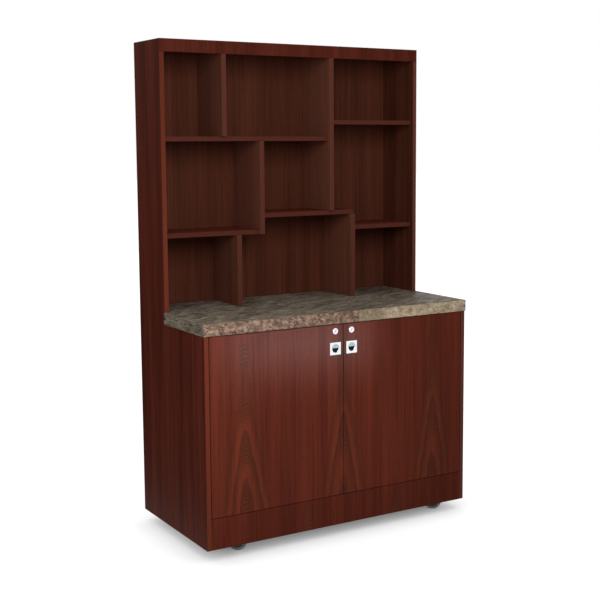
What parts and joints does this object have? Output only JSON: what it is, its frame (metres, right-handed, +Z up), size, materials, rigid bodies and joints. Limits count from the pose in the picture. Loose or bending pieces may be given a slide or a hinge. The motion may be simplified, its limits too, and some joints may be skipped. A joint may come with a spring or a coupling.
{
  "type": "back bar cabinet",
  "caption": "Back bar cabinet: an open hutch of staggered shelves over a stone-look worktop and a lockable cupboard base that rolls on swivel casters.",
  "frame": {"origin": "floor level under the middle of the overall box", "axes": "+Z up, +X to the right of a person facing the doors, -Y towards that person"},
  "size_m": [1.227, 0.614, 1.981],
  "materials": {
    "mahogany_laminate": "satin red-brown mahogany laminate with upright grain",
    "granite_look_laminate": "satin brown and tan speckled stone-look laminate on a board core",
    "chrome_plate": "polished",
    "zinc_plated_steel": "bright zinc plate",
    "blackened_steel": "oil-blacked",
    "black_nylon": "matt",
    "grey_rubber": "matt"
  },
  "bodies": {
    "carcass": {"left_end_panel": "mahogany_laminate", "right_end_panel": "mahogany_laminate", "hutch_top_panel": "mahogany_laminate", "hutch_fascia": "mahogany_laminate", "hutch_back_panel": "mahogany_laminate", "base_back_panel": "mahogany_laminate", "base_bottom_panel": "mahogany_laminate", "plinth_panel": "mahogany_laminate", "front_top_rail": "mahogany_laminate", "rear_top_rail": "mahogany_laminate", "divider_upper_left": "mahogany_laminate", "divider_upper_right": "mahogany_laminate", "divider_middle_left": "mahogany_laminate", "divider_lower_left": "mahogany_laminate", "divider_lower_right": "mahogany_laminate", "shelf_upper_left": "mahogany_laminate", "shelf_upper_right": "mahogany_laminate", "shelf_middle": "mahogany_laminate", "shelf_lower_left": "mahogany_laminate", "shelf_lower_right": "mahogany_laminate", "base_shelf": "mahogany_laminate", "countertop": "granite_look_laminate", "shelf_pin_left_front": "zinc_plated_steel", "shelf_pin_left_rear": "zinc_plated_steel", "shelf_pin_right_front": "zinc_plated_steel", "shelf_pin_right_rear": "zinc_plated_steel", "left_top_pivot": "blackened_steel", "left_bottom_pivot": "blackened_steel", "right_top_pivot": "blackened_steel", "right_bottom_pivot": "blackened_steel", "caster_plate_left_front": "zinc_plated_steel", "caster_plate_left_rear": "zinc_plated_steel", "caster_plate_right_front": "zinc_plated_steel", "caster_plate_right_rear": "zinc_plated_steel"},
    "left_door_leaf": {"left_door": "mahogany_laminate", "left_top_bush": "black_nylon", "left_bottom_bush": "black_nylon", "left_lock_barrel": "chrome_plate", "left_pull": "chrome_plate"},
    "left_lock_core": {"left_lock_plug": "chrome_plate", "left_lock_cam": "zinc_plated_steel"},
    "right_door_leaf": {"right_door": "mahogany_laminate", "right_top_bush": "black_nylon", "right_bottom_bush": "black_nylon", "right_lock_barrel": "chrome_plate", "right_pull": "chrome_plate"},
    "right_lock_core": {"right_lock_plug": "chrome_plate", "right_lock_cam": "zinc_plated_steel"},
    "swivel_left_front": {"caster_fork_left_front": "zinc_plated_steel", "caster_axle_left_front": "zinc_plated_steel"},
    "roller_left_front": {"caster_wheel_left_front": "grey_rubber"},
    "swivel_left_rear": {"caster_fork_left_rear": "zinc_plated_steel", "caster_axle_left_rear": "zinc_plated_steel"},
    "roller_left_rear": {"caster_wheel_left_rear": "grey_rubber"},
    "swivel_right_front": {"caster_fork_right_front": "zinc_plated_steel", "caster_axle_right_front": "zinc_plated_steel"},
    "roller_right_front": {"caster_wheel_right_front": "grey_rubber"},
    "swivel_right_rear": {"caster_fork_right_rear": "zinc_plated_steel", "caster_axle_right_rear": "zinc_plated_steel"},
    "roller_right_rear": {"caster_wheel_right_rear": "grey_rubber"}
  },
  "joints": [
    {"name": "left_door_hinge", "type": "hinge", "parent": "carcass", "child": "left_door_leaf", "pos_m": [-0.563, -0.2935, 0.166], "axis": [0, 0, -1], "range_deg": [0, 110]},
    {"name": "right_door_hinge", "type": "hinge", "parent": "carcass", "child": "right_door_leaf", "pos_m": [0.563, -0.2935, 0.166], "axis": [0, 0, 1], "range_deg": [0, 110]},
    {"name": "left_lock_turn", "type": "hinge", "parent": "left_door_leaf", "child": "left_lock_core", "pos_m": [-0.038, -0.303, 0.838], "axis": [0, 1, 0], "range_deg": [0, 90]},
    {"name": "right_lock_turn", "type": "hinge", "parent": "right_door_leaf", "child": "right_lock_core", "pos_m": [0.038, -0.303, 0.838], "axis": [0, -1, 0], "range_deg": [0, 90]},
    {"name": "swivel_left_front_turn", "type": "hinge", "parent": "carcass", "child": "swivel_left_front", "pos_m": [-0.473, -0.20618, 0], "axis": [0, 0, 1], "continuous": true},
    {"name": "swivel_left_rear_turn", "type": "hinge", "parent": "carcass", "child": "swivel_left_rear", "pos_m": [-0.473, 0.21418, 0], "axis": [0, 0, 1], "continuous": true},
    {"name": "swivel_right_front_turn", "type": "hinge", "parent": "carcass", "child": "swivel_right_front", "pos_m": [0.473, -0.20618, 0], "axis": [0, 0, 1], "continuous": true},
    {"name": "swivel_right_rear_turn", "type": "hinge", "parent": "carcass", "child": "swivel_right_rear", "pos_m": [0.473, 0.21418, 0], "axis": [0, 0, 1], "continuous": true},
    {"name": "wheel_left_front_spin", "type": "hinge", "parent": "swivel_left_front", "child": "roller_left_front", "pos_m": [-0.44351, -0.22683, 0.03732], "axis": [0.5736, 0.8192, 0], "continuous": true},
    {"name": "wheel_left_rear_spin", "type": "hinge", "parent": "swivel_left_rear", "child": "roller_left_rear", "pos_m": [-0.44351, 0.19353, 0.03732], "axis": [0.5736, 0.8192, 0], "continuous": true},
    {"name": "wheel_right_front_spin", "type": "hinge", "parent": "swivel_right_front", "child": "roller_right_front", "pos_m": [0.50249, -0.22683, 0.03732], "axis": [0.5736, 0.8192, 0], "continuous": true},
    {"name": "wheel_right_rear_spin", "type": "hinge", "parent": "swivel_right_rear", "child": "roller_right_rear", "pos_m": [0.50249, 0.19353, 0.03732], "axis": [0.5736, 0.8192, 0], "continuous": true}
  ]
}
